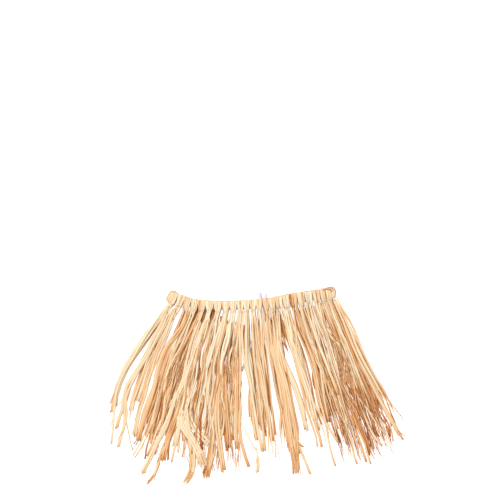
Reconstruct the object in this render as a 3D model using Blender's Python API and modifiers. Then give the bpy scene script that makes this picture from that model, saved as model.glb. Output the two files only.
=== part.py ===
"""A raffia grass skirt, laid flat: a tie-on elastic waistband with a hank of raffia hitched on at each knot.

Metres, +Z up. X runs along the waistband and -Y runs down the skirt. The skirt lies on the plane z = 0, with its
back layer underneath. The shapes are worked out from the middle of the waistband, and the whole skirt is then moved
so that the origin is under the middle of its outline.
"""

import math

import bmesh
import bpy
from mathutils import Vector

MM = 0.001

# Driving sizes.
HALF_WAIST = 164 * MM  # half the flat waistband, from the middle to where the elastic turns back
TAPE_WIDTH = 8 * MM  # the flat elastic
TAPE_THICK = 1.0 * MM
BAND_HALF_WIDTH = 9 * MM  # knots from the waistband's centre line to its edge
BAND_HALF_THICK = 3.9 * MM
WAIST_GAP = 2.0 * MM  # the squeezed waist opening, between the front and the back row of knots
KNOT_WALL = 2.0 * MM  # raffia wound round the elastic
SEAM = 0.4 * MM  # clear space between neighbouring pieces
NECK_WIDTH = 8 * MM  # a hank where it leaves its knot
HEM_DROP = 345 * MM  # from the waistband's centre line to the middle of the ragged hem
HEM_HALF_WIDTH = 305 * MM
HEM_RISE = 70 * MM  # how much higher the hem is at the two sides of the fan
LAYER_GAP = 1.6 * MM  # between the front and the back hanks, with room for the tie ribbon
TIE_X = 22 * MM  # where the elastic's ends are tied, inside the waistband
TIE_WIDTH = 6 * MM
TIE_THICK = 1.0 * MM
EAR_HEIGHT = 13 * MM  # how far the tie's two loops stand above the waistband
TABLE_CENTRE = Vector((4.8 * MM, -164.1 * MM, 0))  # the middle of the outline, from the middle of the waistband

# The waistband sags: its lowest point lies left of the middle, and it rises from there to both ends.
LOWEST_X = -50 * MM
LEFT_RISE = 17.4 * MM
LEFT_POWER = 2.6
RIGHT_RISE = 25.6 * MM
RIGHT_POWER = 1.6

# One row for each knot, from left to right, in millimetres: where the knot is along the waistband, where its hank
# passes half way down and where it ends, and its width at both places. Reach is the hank's length as a share of the
# drop from waistband to hem. The back hank hangs behind the front one, moved sideways by back_shift.
HANK_COLUMNS = ("knot", "half_way", "end", "half_way_width", "end_width", "reach", "back_shift", "back_reach")
HANK_TABLE = (
    (-160, -256, -291, 22, 18, 0.99, 6, 0.93),
    (-145, -234, -262, 18, 26, 1.02, 6, 0.95),
    (-132, -212, -238, 15, 16, 0.94, 5, 0.96),
    (-116.5, -192, -219, 18, 18, 1.03, 5, 0.93),
    (-101.5, -172, -203, 19, 18, 1.02, 6, 0.96),
    (-86, -150, -180, 22, 30, 1.06, 6, 0.97),
    (-69, -125, -152, 22, 26, 0.93, 5, 0.95),
    (-52.5, -100, -120, 23, 30, 1.07, 2, 1.00),
    (-37.5, -74, -88, 26, 30, 1.07, 1, 0.98),
    (-23, -42, -50, 36, 52, 1.01, 0, 0.96),
    (-10, 1, 18, 13, 18, 0.93, 1, 0.90),
    (3, 14, 33, 13, 14, 0.95, 1, 0.93),
    (15.5, 30, 50, 15, 16, 0.96, 1, 0.91),
    (29.5, 46, 72, 17, 22, 1.00, 2, 0.97),
    (42, 64, 99, 24, 30, 1.05, 2, 0.99),
    (56, 89, 121, 11, 11, 0.75, 3, 0.70),
    (71, 108, 152, 13, 16, 0.88, 4, 0.86),
    (86, 128, 174, 18, 22, 1.02, 5, 0.96),
    (101.5, 148, 196, 19, 19, 1.03, 5, 0.99),
    (117, 167, 216, 19, 19, 1.05, 5, 1.00),
    (133, 187, 235, 19, 19, 1.08, 5, 0.98),
    (146, 207, 255, 19, 20, 1.10, 4, 0.99),
    (156, 226, 275, 18, 19, 1.04, 4, 0.96),
    (164, 244, 298, 20, 24, 1.03, 3, 0.95),
)
HANKS = [dict(zip(HANK_COLUMNS, row)) for row in HANK_TABLE]

OPEN_BY = 0.12  # a hank opens from its neck to its full width within this share of the drop
NARROW_FROM = 0.88  # the last part of a hank's length thins out towards its end
NARROWING = 0.45
HANK_STEPS = 10
EDGE_THINNING = 0.62  # thickness of a hank's two edges, as a share of its middle
FRONT_THICK = 5.0 * MM
FRONT_CROWN = 1.4 * MM
FRONT_THINNING = 2.0 * MM
HEM_SPACE_Z = 4.0 * MM  # height of the space between the layers, at the hem

# Places on the elastic loop: 0 to 1 is the front, 1 to 2 the right-hand turn, 2 to 3 the back and 3 to 4 the left-hand
# turn. The two end knots reach a little way along the front and the back.
LEFT_ARM = 0.026
RIGHT_ARM = 0.012
ARM_GAP = 0.004
TURN_STOPS = (0.0, 0.16, 0.33, 0.5, 0.67, 0.84, 1.0)
GROOVE_DEPTH = 0.86
ELASTIC_STEPS = 64
KNOT_SECTION = ((-1, 0), (-0.72, 1), (0.72, 1), (1, 0), (0.72, -1), (-0.72, -1), (-1, 0))

TURN_RADIUS = BAND_HALF_THICK + WAIST_GAP / 2
MIDDLE_Z = 2 * BAND_HALF_THICK + WAIST_GAP / 2  # height of the waist opening


def rise(x):
    """How far the waistband's centre line lies above its lowest point."""
    if x < LOWEST_X:
        return LEFT_RISE * ((LOWEST_X - x) / (LOWEST_X + HALF_WAIST)) ** LEFT_POWER
    return RIGHT_RISE * ((x - LOWEST_X) / (HALF_WAIST - LOWEST_X)) ** RIGHT_POWER


def band_y(x):
    return rise(x) - rise(0.0)


def band_direction(x):
    """Unit vector along the waistband at x, in the plane of the table."""
    return Vector((2 * MM, band_y(x + MM) - band_y(x - MM), 0)).normalized()


def loop_station(turn):
    """A place on the flattened elastic loop: its point, the direction across the tape, and the direction outwards."""
    leg, share = int(turn) % 4, turn - int(turn)
    side = 1 if leg < 2 else -1
    if leg in (0, 2):
        x, angle = side * HALF_WAIST * (2 * share - 1), 0.0
    else:
        x, angle = side * HALF_WAIST, math.pi * share
    along = band_direction(x)
    outward = side * (math.sin(angle) * along + math.cos(angle) * Vector((0, 0, 1)))
    across = Vector((-along.y, along.x, 0))
    return Vector((x, band_y(x), MIDDLE_Z)) + TURN_RADIUS * outward, across, outward


def smooth(t):
    t = min(1.0, max(0.0, t))
    return t * t * (3 - 2 * t)


def material(name, colour, roughness):
    made = bpy.data.materials.new(name)
    made.use_nodes = True
    shader = made.node_tree.nodes["Principled BSDF"]
    shader.inputs["Base Color"].default_value = (*colour, 1)
    shader.inputs["Roughness"].default_value = roughness
    shader.inputs["Metallic"].default_value = 0.0
    return made


def grid_object(name, columns, rows, place, finish, block=False):
    """A grid of faces set in place by place(across, down), or by place(across, down, layer) for a closed block.

    across and down run from 0 to 1. layer is 0 on the underside and 1 on top.
    """
    shape = bmesh.new()
    bmesh.ops.create_grid(shape, x_segments=columns, y_segments=rows, size=0.5)
    upper = set()
    if block:
        grown = bmesh.ops.extrude_face_region(shape, geom=shape.faces[:])
        upper = {item for item in grown["geom"] if isinstance(item, bmesh.types.BMVert)}
    for corner in shape.verts:
        across, down = corner.co.x + 0.5, 0.5 - corner.co.y
        corner.co = place(across, down, int(corner in upper)) if block else place(across, down)
    bmesh.ops.remove_doubles(shape, verts=shape.verts[:], dist=0.001 * MM)
    if block:
        bmesh.ops.recalc_face_normals(shape, faces=shape.faces[:])
    mesh = bpy.data.meshes.new(name)
    shape.to_mesh(mesh)
    shape.free()
    mesh.materials.append(finish)
    made = bpy.data.objects.new(name, mesh)
    skirt.objects.link(made)
    return made


def add_wall(part, thickness, offset):
    wall = part.modifiers.new("wall", "SOLIDIFY")
    wall.thickness = thickness
    wall.offset = offset
    wall.use_even_offset = True
    return part


# ---- Waistband ----


def make_elastic(finish):
    """The flat elastic: one closed loop, pressed flat, so its front run lies over its back run."""

    def place(across, down):
        point, sideways, _ = loop_station(4 * down)
        return point + (across - 0.5) * TAPE_WIDTH * sideways

    return add_wall(grid_object("waist_elastic", 1, ELASTIC_STEPS, place, finish), TAPE_THICK, 0.0)


def make_knots(name, crests, grooves, finish, swell=1.0):
    """Knots in a row: a ribbed sleeve of wound raffia with the elastic running through it.

    crests and grooves are the high and the low ribs, as places on the loop. A swollen sleeve keeps its lower edge in
    line with the waistband and stands up above it.
    """
    stops = sorted([*crests, *grooves])

    def place(across, down):
        turn = stops[round(down * (len(stops) - 1))]
        point, sideways, outward = loop_station(turn)
        wide, thick = KNOT_SECTION[round(across * 6)]
        rib = GROOVE_DEPTH if turn in grooves else 1.0
        # The underside stays flat, because it lies on the table.
        lies_flat = outward.z < -0.99 and thick > 0
        height = thick if lies_flat else thick * rib
        reach = (wide * rib * swell + swell - 1) * BAND_HALF_WIDTH
        return point + reach * sideways + height * BAND_HALF_THICK * outward

    return add_wall(grid_object(name, 6, len(stops) - 1, place, finish), KNOT_WALL, -1.0)


def make_knot_row(name, leg, finish):
    """The knots along the front (leg 0) or the back (leg 2), between the two end knots."""
    places = [(hank["knot"] * MM / HALF_WAIST + 1) / 2 for hank in HANKS]
    first, last = LEFT_ARM + ARM_GAP, 1 - RIGHT_ARM - ARM_GAP
    crests = [first, *(share for share in places if first + 0.01 < share < last - 0.01), last]
    grooves = [(left + right) / 2 for left, right in zip(crests[1:-2], crests[2:-1])]
    if leg:
        crests, grooves = ([leg + 1 - share for share in shares] for shares in (crests, grooves))
    return make_knots(name, crests, grooves, finish)


def make_end_knot(name, turn, arm, swell, finish):
    crests = [turn + share for share in (-arm, -arm / 2, *TURN_STOPS, 1 + arm / 2, 1 + arm)]
    return make_knots(name, crests, [], finish, swell)


# ---- Raffia hanks ----


def level_y(x, level):
    """Height on the page of the line a given share of the way from the waistband's lower edge to the hem."""
    held = min(HALF_WAIST, max(-HALF_WAIST, x))
    top = band_y(held) - (BAND_HALF_WIDTH + SEAM) / band_direction(held).x
    hem = -HEM_DROP + HEM_RISE * (x / HEM_HALF_WIDTH) ** 2
    return top + (hem - top) * level


def hank_x(hank, level, layer):
    """The middle of a hank: a smooth curve through its knot, its half-way place and its end."""
    shift = hank["back_shift"] if layer == "back" else 0.0
    return MM * (
        (1 - level) * (1 - 2 * level) * hank["knot"]
        + 4 * level * (1 - level) * (hank["half_way"] + shift)
        + level * (2 * level - 1) * (hank["end"] + shift)
    )


def hank_edges(number, level, layer):
    """Left and right edge of a hank at a level, kept clear of the hanks beside it."""
    hank = HANKS[number]
    middle = hank_x(hank, level, layer)
    widening = max(0.0, 2 * level - 1) * (hank["end_width"] - hank["half_way_width"])
    full = MM * (hank["half_way_width"] + widening)
    half = (NECK_WIDTH + (full - NECK_WIDTH) * smooth(level / OPEN_BY)) / 2
    left, right = middle - half, middle + half
    if number > 0:
        left = max(left, (middle + hank_x(HANKS[number - 1], level, layer)) / 2 + SEAM)
    if number < len(HANKS) - 1:
        right = min(right, (middle + hank_x(HANKS[number + 1], level, layer)) / 2 - SEAM)
    return left, right


def between_layers(level):
    """Height of the space between the back hanks and the front hanks."""
    return HEM_SPACE_Z + (MIDDLE_Z - HEM_SPACE_Z) * max(0.0, 1 - level) ** 2


def make_hank(number, layer, finish):
    """One hank of raffia as a plain solid of its reach, from its knot to its ragged end."""
    hank = HANKS[number]
    reach = hank["reach"] if layer == "front" else hank["back_reach"]

    def place(across, down, upper):
        level = reach * down
        left, right = hank_edges(number, level, layer)
        narrowing = 1 - NARROWING * smooth((down - NARROW_FROM) / (1 - NARROW_FROM))
        x = (left + right) / 2 + (across - 0.5) * (right - left) * narrowing
        crown = 1.0 if 0.1 < across < 0.9 else EDGE_THINNING
        space = between_layers(level)
        if layer == "back":
            z = (space - LAYER_GAP / 2) * crown if upper else 0.0
        else:
            swelling = FRONT_CROWN * math.sin(math.pi * min(1.0, level))
            thick = FRONT_THICK + swelling - FRONT_THINNING * smooth(level)
            z = space + LAYER_GAP / 2 + (thick * crown if upper else 0.0)
        return Vector((x, level_y(x, level), z))

    return grid_object(f"{layer}_hank_{number + 1:02d}", 2, HANK_STEPS, place, finish, block=True)


# ---- Tie ----


def make_tie_ears(finish):
    """The knot and the two small loops of the tie, as one flat piece that stands out above the waistband."""
    outline = bpy.data.curves.new("tie_ears", "CURVE")
    outline.dimensions = "2D"
    outline.fill_mode = "BOTH"
    outline.extrude = TIE_THICK / 2
    outline.resolution_u = 4
    top = band_y(TIE_X) + BAND_HALF_WIDTH + EAR_HEIGHT
    low = band_y(TIE_X) - BAND_HALF_WIDTH
    half = TIE_WIDTH * 1.3
    corners = (
        (-TIE_WIDTH / 2, low),
        (TIE_WIDTH / 2, low),
        (half, top - EAR_HEIGHT / 2),
        (0.6 * half, top - 0.2 * EAR_HEIGHT),
        (0, top - 0.75 * EAR_HEIGHT),
        (-0.6 * half, top),
        (-half, top - EAR_HEIGHT / 2),
    )
    line = outline.splines.new("BEZIER")
    line.bezier_points.add(len(corners) - 1)
    for point, (x, y) in zip(line.bezier_points, corners):
        point.co = (TIE_X + x, y, 0)
        point.handle_left_type = point.handle_right_type = "VECTOR" if y == low else "AUTO"
    line.use_cyclic_u = True
    outline.materials.append(finish)
    made = bpy.data.objects.new("tie_ears", outline)
    made.location.z = MIDDLE_Z
    skirt.objects.link(made)
    return made


def make_tie_tail(name, start_x, end_x, end_level, finish):
    """One free end of the tie: a ribbon that lies between the back hanks and the front hanks."""

    def place(across, down, upper):
        level = end_level * down
        x = start_x + (end_x - start_x) * down**1.3 + (across - 0.5) * TIE_WIDTH
        z = between_layers(level) + (upper - 0.5) * TIE_THICK
        return Vector((x, level_y(x, level), z))

    return grid_object(name, 1, 10, place, finish, block=True)


def main():
    raffia = material("raffia", (0.86, 0.62, 0.34), 0.7)
    inner_raffia = material("inner_raffia", (0.72, 0.45, 0.22), 0.75)
    wound_raffia = material("wound_raffia", (0.89, 0.68, 0.41), 0.65)
    elastic = material("elastic", (0.86, 0.85, 0.9), 0.6)

    make_elastic(elastic)
    make_knot_row("front_knots", 0, wound_raffia)
    make_knot_row("back_knots", 2, wound_raffia)
    make_end_knot("right_end_knot", 1, RIGHT_ARM, 1.12, wound_raffia)
    make_end_knot("left_end_knot", 3, LEFT_ARM, 1.3, wound_raffia)
    for number in range(len(HANKS)):
        make_hank(number, "front", raffia)
        make_hank(number, "back", inner_raffia)
    make_tie_ears(elastic)
    make_tie_tail("tie_tail_long", TIE_X - 3.4 * MM, -20 * MM, 0.37, elastic)
    make_tie_tail("tie_tail_short", TIE_X + 3.6 * MM, 33 * MM, 0.09, elastic)
    for part in skirt.objects:
        part.location -= TABLE_CENTRE


for leftover in list(bpy.data.objects):
    bpy.data.objects.remove(leftover)
skirt = bpy.data.collections.new("grass_skirt")
bpy.context.scene.collection.children.link(skirt)
main()
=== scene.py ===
import math

import bpy
import numpy as np
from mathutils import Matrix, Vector


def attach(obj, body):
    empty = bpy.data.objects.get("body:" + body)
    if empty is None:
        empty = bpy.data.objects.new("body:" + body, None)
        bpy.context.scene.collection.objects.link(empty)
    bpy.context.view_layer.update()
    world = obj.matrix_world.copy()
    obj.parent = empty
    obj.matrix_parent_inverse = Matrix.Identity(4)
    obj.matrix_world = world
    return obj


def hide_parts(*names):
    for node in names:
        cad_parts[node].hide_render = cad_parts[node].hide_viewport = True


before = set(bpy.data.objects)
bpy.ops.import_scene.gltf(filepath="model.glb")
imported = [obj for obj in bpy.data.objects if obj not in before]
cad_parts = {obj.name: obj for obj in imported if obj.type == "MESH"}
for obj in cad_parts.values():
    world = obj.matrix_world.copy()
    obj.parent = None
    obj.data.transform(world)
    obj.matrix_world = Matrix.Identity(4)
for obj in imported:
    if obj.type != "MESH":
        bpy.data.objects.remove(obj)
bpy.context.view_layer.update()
rng = np.random.default_rng(429)

print("frame loaded")

skirtShape = {
    "bandMiddle": (-4.8, 164.1),  # the middle of the waistband, from the skirt's own origin
    "halfWaist": 164.0,
    "lowestX": -50.0,  # the band sags, and its lowest point is left of the middle
    "leftRise": 17.4,
    "leftPower": 2.6,
    "rightRise": 25.6,
    "rightPower": 1.6,
    "bandHalfWidth": 9.0,
    "turnRadius": 4.9,  # how tightly the elastic turns back at the two ends
    "middleZ": 8.8,  # height of the pressed-flat waist opening
    "hemDrop": 345.0,
    "hemHalfWidth": 305.0,
    "hemRise": 70.0,
    "hemSpaceZ": 4.0,  # height of the space between back and front layer at the hem
    "belowBand": 0.4,  # the hanks start this far below the band's edge
}


def bandRise(x):
    s = skirtShape
    left = np.maximum(0.0, (s["lowestX"] - x) / (s["lowestX"] + s["halfWaist"]))
    right = np.maximum(0.0, (x - s["lowestX"]) / (s["halfWaist"] - s["lowestX"]))
    return s["leftRise"] * left ** s["leftPower"] + s["rightRise"] * right ** s["rightPower"]


def bandY(x):
    return bandRise(x) - bandRise(0.0)


def bandAlong(x):
    along = np.array([2.0, bandY(x + 1) - bandY(x - 1), 0.0])
    return along / np.linalg.norm(along)


def bandEdgeAndHem(x):
    held = np.clip(x, -skirtShape["halfWaist"], skirtShape["halfWaist"])
    top = bandY(held) - skirtShape["bandHalfWidth"] - skirtShape["belowBand"]
    hem = -skirtShape["hemDrop"] + skirtShape["hemRise"] * (x / skirtShape["hemHalfWidth"]) ** 2
    return top, hem


def levelY(x, level):
    # how far down the page a share of the drop from waistband to hem lies
    top, hem = bandEdgeAndHem(x)
    return top + (hem - top) * level


def levelOf(x, y):
    top, hem = bandEdgeAndHem(x)
    return (y - top) / (hem - top)


def betweenLayers(level):
    low = skirtShape["hemSpaceZ"]
    return low + (skirtShape["middleZ"] - low) * np.maximum(0.0, 1 - level) ** 2


def loopStation(turn):
    # a place on the flattened loop of elastic: 0 to 1 front, 1 to 2 right turn, 2 to 3 back, 3 to 4 left turn
    leg, share = int(turn) % 4, turn - int(turn)
    side = 1 if leg < 2 else -1
    x = side * skirtShape["halfWaist"]
    angle = math.pi * share
    if leg in (0, 2):
        x *= 2 * share - 1
        angle = 0.0
    along = bandAlong(x)
    outward = side * (math.sin(angle) * along + math.cos(angle) * np.array([0, 0, 1.0]))
    across = np.array([-along[1], along[0], 0.0])
    centre = np.array([x, bandY(x), skirtShape["middleZ"]]) + skirtShape["turnRadius"] * outward
    forward = np.cross(across, outward)
    return centre, forward, across, outward


def smooth(t):
    t = np.clip(t, 0.0, 1.0)
    return t * t * (3 - 2 * t)


def unit(v):
    return v / np.maximum(1e-9, np.linalg.norm(v, axis=-1, keepdims=True))


def throughPoints(points, count=160):
    # a smooth line through a few points
    p = np.asarray(points, float)
    gaps = np.maximum(1e-6, np.linalg.norm(np.diff(p, axis=0), axis=1)) ** 0.5
    at = np.concatenate([[0], np.cumsum(gaps)])
    slopes = np.empty_like(p)
    steps = np.diff(p, axis=0) / np.diff(at)[:, None]
    slopes[0], slopes[-1] = steps[0], steps[-1]
    weight = (np.diff(at)[1:] / (at[2:] - at[:-2]))[:, None]
    slopes[1:-1] = weight * steps[:-1] + (1 - weight) * steps[1:]
    t = np.linspace(0, at[-1], count)
    i = np.clip(np.searchsorted(at, t, side="right") - 1, 0, len(at) - 2)
    h = (at[i + 1] - at[i])[:, None]
    s = ((t - at[i]) / (at[i + 1] - at[i]))[:, None]
    return (
        (2 * s**3 - 3 * s**2 + 1) * p[i]
        + (s**3 - 2 * s**2 + s) * h * slopes[i]
        + (3 * s**2 - 2 * s**3) * p[i + 1]
        + (s**3 - s**2) * h * slopes[i + 1]
    )


def evenStations(line, step, bend):
    # stations closer together where the line bends
    legs = np.diff(line, axis=0)
    lengths = np.linalg.norm(legs, axis=1)
    way = unit(legs)
    turns = np.concatenate([[0], np.arccos(np.clip((way[1:] * way[:-1]).sum(1), -1, 1))])
    cost = np.concatenate([[0], np.cumsum(lengths / step + turns / bend)])
    count = max(6, int(cost[-1]) + 2)
    wanted = np.linspace(0, cost[-1], count)
    return np.stack([np.interp(wanted, cost, line[:, k]) for k in range(3)], axis=1)


def wander(count, size, waves, first=1):
    # a slow random wave along a strip
    t = np.linspace(0, 1, count)
    made = np.zeros(count)
    for n in range(first, waves + 1):
        made += rng.normal() * np.sin(2 * math.pi * (n * t * 0.8 + rng.random())) / n
    return size * made


def newBundle():
    # the strips that one piece is joined from, and what they add up to
    sums = {"count": 0, "area": 0.0, "length": 0.0, "strips": 0}
    return {"verts": [], "faces": [], "uv": [], "tone": [], **sums}


def addRings(bundle, rings, uv, tone):
    # rings: stations x corners x 3, a closed outline at each station
    stations, corners = rings.shape[:2]
    start = bundle["count"]
    index = start + np.arange(stations * corners).reshape(stations, corners)
    a, b = index[:-1], index[1:]
    quads = np.stack([a, np.roll(a, -1, 1), np.roll(b, -1, 1), b], axis=-1).reshape(-1, 4)
    bundle["faces"] += [quads, index[0][::-1][None], index[-1][None]]
    bundle["verts"].append(rings.reshape(-1, 3))
    bundle["uv"].append(uv.reshape(-1, 2))
    bundle["tone"].append(tone.reshape(-1))
    bundle["count"] += stations * corners


def reachAlong(line):
    return np.concatenate([[0], np.cumsum(np.linalg.norm(np.diff(line, axis=0), axis=1))])


stripLook = {
    "bend": 0.32,  # how far a strip may turn between two stations, in radians
    "widthWaver": 0.07,
    "curlWaver": 0.2,
    "curlRange": (0.25, 1.5),
    "toneWaver": 0.05,  # the slow changes of its width, curl and tone
    "flatter": 0.93,  # a curled strip lies a little narrower than its flat width
    "roughEdge": 0.035,
    "edgeBrownAndCurlShade": 0.26,  # the edges are painted darker than the middle: partly their own browner colour, partly painted shade where the curl turns them from the light
    "pointWidth": 0.16,  # a pointed end narrows to this share of the width
    "frayedNarrows": 0.35,  # a frayed end gets this much narrower
    "slant": 0.9,  # how slanted a cut end may be
    "headLength": 48.0,  # this much of a strip is wound over the elastic
    "lowerFrom": 150.0,  # the browner lower part starts here
    "lowerOver": 170.0,
    "underside": 0.04,  # nothing goes through the table
    "lowestTop": 0.12,
}
frayLook = {
    "from": 0.80,  # the threads run from this share of the strip
    "spread": 0.85,
    "longest": 13.0,
    "narrowest": 1.4,
    "widest": 0.32,  # of the strip's width
    "thick": 0.22,
}


def addStrip(
    bundle, points, width, tone, tip="cut", side=None, curl=0.9, twist=0.4, thick=0.28, columns=4, step=13.0,
    neck=0.35, neckLength=0.0, toneEnds=0.12, toneHead=0.0, toneLower=0.0, headCurl=None, count=True,
):
    # one flat strip of dried leaf: a thin closed ribbon, curled across and slowly twisting along
    look = stripLook
    line = evenStations(throughPoints(points), step, look["bend"])
    n = len(line)
    reach = reachAlong(line)
    length = reach[-1]
    way = unit(np.gradient(line, axis=0))
    if side is None:
        across = unit(np.cross([0, 0, 1.0], way))
    else:
        side = np.broadcast_to(np.asarray(side, float), way.shape)
        across = unit(side - (side * way).sum(1, keepdims=True) * way)
    up = np.cross(way, across)
    inHead = smooth(reach / neckLength) if neckLength else np.ones(n)
    turned = (wander(n, twist, 3) * inHead)[:, None]
    across, up = across * np.cos(turned) + up * np.sin(turned), up * np.cos(turned) - across * np.sin(turned)
    half = 0.5 * width * (1 + wander(n, look["widthWaver"], 4))
    half *= neck + (1 - neck) * inHead
    bow = np.clip(curl * (1 + wander(n, look["curlWaver"], 3)), *look["curlRange"])
    if headCurl:
        # the strip is folded tighter where it is wound over the elastic
        folded = 1 - smooth((reach - look["headLength"]) / 30)
        bow = bow * (1 - folded) + headCurl * folded
    if tip == "point":
        ending = smooth((length - reach) / (0.3 * length + 6 * width) * 1.6)
        half = half * (look["pointWidth"] + (1 - look["pointWidth"]) * ending)
    elif tip == "frayed":
        half = half * (1 - look["frayedNarrows"] * smooth((reach / length - 0.9) / 0.1))
    u = np.linspace(-1, 1, columns)[None, :]
    angle = bow[:, None] * u
    flatHalf = half[:, None] * (bow / np.sin(bow))[:, None] * look["flatter"]
    lateral = flatHalf * np.sin(angle) / bow[:, None]
    lateral = lateral + rng.normal(0, look["roughEdge"], (n, columns)) * half[:, None]
    height = flatHalf * (np.cos(angle) - 1) / bow[:, None]
    top = line[:, None] + across[:, None] * lateral[..., None] + up[:, None] * height[..., None]
    shell = across[:, None] * np.sin(angle)[..., None] + up[:, None] * np.cos(angle)[..., None]
    if tip == "cut":
        slant = rng.uniform(-look["slant"], look["slant"])
        top[-1] += way[-1] * (slant * u[0] * half[-1] + rng.normal(0, 0.15, columns) * half[-1])[:, None]
    under = top - thick * shell
    rings = np.concatenate([top, under[:, ::-1]], axis=1)
    rings[:, :columns, 2] = np.maximum(look["lowestTop"], rings[:, :columns, 2])
    rings[:, columns:, 2] = np.maximum(look["underside"], rings[:, columns:, 2])
    offset = rng.random(2) * 40
    across01 = np.concatenate([u[0], u[0][::-1]])
    uvX = 0.1 * half[:, None] * across01[None] + offset[0]
    uvY = np.repeat(0.1 * reach[:, None], 2 * columns, 1) + offset[1]
    # the edges get their own browner colour plus painted shade of the curl
    shades = tone + wander(n, look["toneWaver"], 5)[:, None] + look["edgeBrownAndCurlShade"] * np.abs(across01[None]) ** 3
    shades = shades + toneEnds * smooth((reach - length + 25) / 25)[:, None]
    shades = shades + toneLower * smooth((reach - look["lowerFrom"]) / look["lowerOver"])[:, None]
    shades = shades + toneHead * (1 - smooth((reach - look["headLength"]) / 25))[:, None]
    addRings(bundle, rings, np.stack([uvX, uvY], -1), shades)
    if count:
        flatWidth = (half[1:] + half[:-1]) * (bow / np.sin(bow))[1:] * look["flatter"]
        bundle["area"] += float((np.diff(reach) * flatWidth).sum())
        bundle["length"] += length
        bundle["strips"] += 1
    if tip == "frayed":
        frayEnd(bundle, line, across, way, half, width, tone)


def frayEnd(bundle, line, across, way, half, width, tone):
    # the fine threads that a frayed strip ends in
    look = frayLook
    start = int(len(line) * look["from"])
    threads = max(4, int(width / 2))
    for k in range(threads):
        v = -look["spread"] + 2 * look["spread"] * (k + 0.5) / threads + rng.normal(0, 0.05)
        base = line[start:] + across[start:] * (v * half[start:] * look["spread"])[:, None]
        out = way[-1] * rng.uniform(1, look["longest"]) + across[-1] * (v * rng.uniform(0, 3.5))
        path = np.concatenate([base, [line[-1] + across[-1] * v * half[-1] * 0.9 + out]])
        path[:, 2] += 0.15 + 0.1 * (k % 3)
        threadWidth = rng.uniform(look["narrowest"], look["widest"] * width)
        shade = tone + rng.uniform(-0.05, 0.22)
        addStrip(
            bundle, path, threadWidth, shade, "point", curl=0.7, twist=0.2, thick=look["thick"], columns=3,
            count=False,
        )


def addFibre(bundle, points, width, tone, step=7.0):
    # a single loose thread of leaf
    line = evenStations(throughPoints(points), step, 0.3)
    n = len(line)
    reach = reachAlong(line)
    way = unit(np.gradient(line, axis=0))
    across = unit(np.cross([0, 0, 1.0], way) + 1e-6)
    up = np.cross(way, across)
    ending = smooth((reach[-1] - reach) / (0.5 * reach[-1]))
    radius = 0.5 * width * (0.35 + 0.65 * ending) * (1 + wander(n, 0.08, 4))
    corners = np.array([[1.0, -0.35], [0.0, 0.6], [-1.0, -0.35]])
    rings = (
        line[:, None]
        + across[:, None] * (radius[:, None] * corners[:, 0])[..., None]
        + up[:, None] * (radius[:, None] * corners[:, 1])[..., None]
    )
    rings[..., 2] = np.maximum(0.1, rings[..., 2])
    uv = np.stack([np.tile(corners[:, 0] * 0.05, (n, 1)), np.repeat(0.1 * reach[:, None], 3, 1)], -1)
    uv = uv + rng.random(2) * 40
    addRings(bundle, rings, uv, tone + 0 * rings[..., 2])


def makePiece(name, bundle, finish, slot, *nodes):
    verts = np.concatenate(bundle["verts"]) + [*skirtShape["bandMiddle"], 0.0]
    mesh = bpy.data.meshes.new(name)
    faces = []
    for block in bundle["faces"]:
        faces.extend(block.tolist())
    mesh.from_pydata((verts * 0.001).tolist(), [], faces)
    uv = np.concatenate(bundle["uv"])
    corners = np.empty(len(mesh.loops), np.int32)
    mesh.loops.foreach_get("vertex_index", corners)
    layer = mesh.uv_layers.new(name="alongFibres")
    layer.data.foreach_set("uv", uv[corners].astype(np.float32).ravel())
    tone = mesh.attributes.new("tone", "FLOAT", "POINT")
    tone.data.foreach_set("value", np.concatenate(bundle["tone"]).astype(np.float32))
    mesh.polygons.foreach_set("use_smooth", np.ones(len(mesh.polygons), bool))
    mesh.materials.append(finish)
    mesh.update()
    piece = bpy.data.objects.new(name, mesh)
    bpy.context.scene.collection.objects.link(piece)
    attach(piece, "root")
    if nodes:
        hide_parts(*nodes)
    print(f"{name}: {bundle['strips']} strips, {sum(len(f) - 2 for f in faces)} triangles")
    return piece


def newFinish(name, inputs):
    made = bpy.data.materials.new(name)
    made.use_nodes = True
    shader = made.node_tree.nodes["Principled BSDF"]
    for socket, value in inputs.items():
        shader.inputs[socket].default_value = value
    return made, shader


def addBump(made, shader, height, strength):
    nodes, links = made.node_tree.nodes, made.node_tree.links
    bump = nodes.new("ShaderNodeBump")
    bump.inputs["Strength"].default_value = strength
    bump.inputs["Distance"].default_value = 0.0003
    links.new(height, bump.inputs["Height"])
    links.new(bump.outputs["Normal"], shader.inputs["Normal"])


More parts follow.
